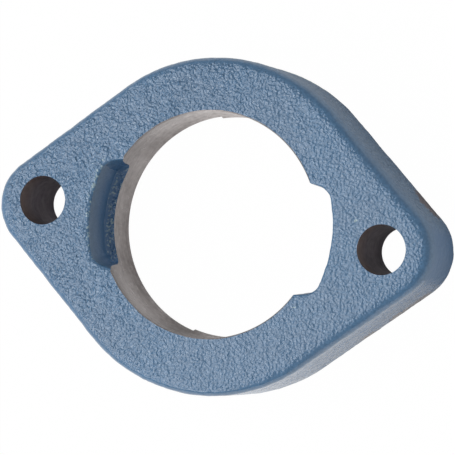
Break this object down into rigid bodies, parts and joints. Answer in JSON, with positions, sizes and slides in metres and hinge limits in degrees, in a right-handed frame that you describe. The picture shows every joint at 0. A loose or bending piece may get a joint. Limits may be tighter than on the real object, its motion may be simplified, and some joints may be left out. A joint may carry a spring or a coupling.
{
  "type": "flanged bearing housing",
  "caption": "Oval flanged bearing housing in painted cast iron: a machined spherical seat with cast loading slots between two bolt holes.",
  "frame": {"origin": "on the bore axis, at the mounting face", "axes": "+Z along the bore, out of the slotted face; +X along the line of the two bolt holes"},
  "size_m": [0.091, 0.0668, 0.0173],
  "materials": {
    "casting": "thin satin blue-grey paint over rough cast iron; seat and bolt holes machined bare afterwards"
  },
  "bodies": {
    "root": {"housing": "casting"}
  },
  "joints": []
}
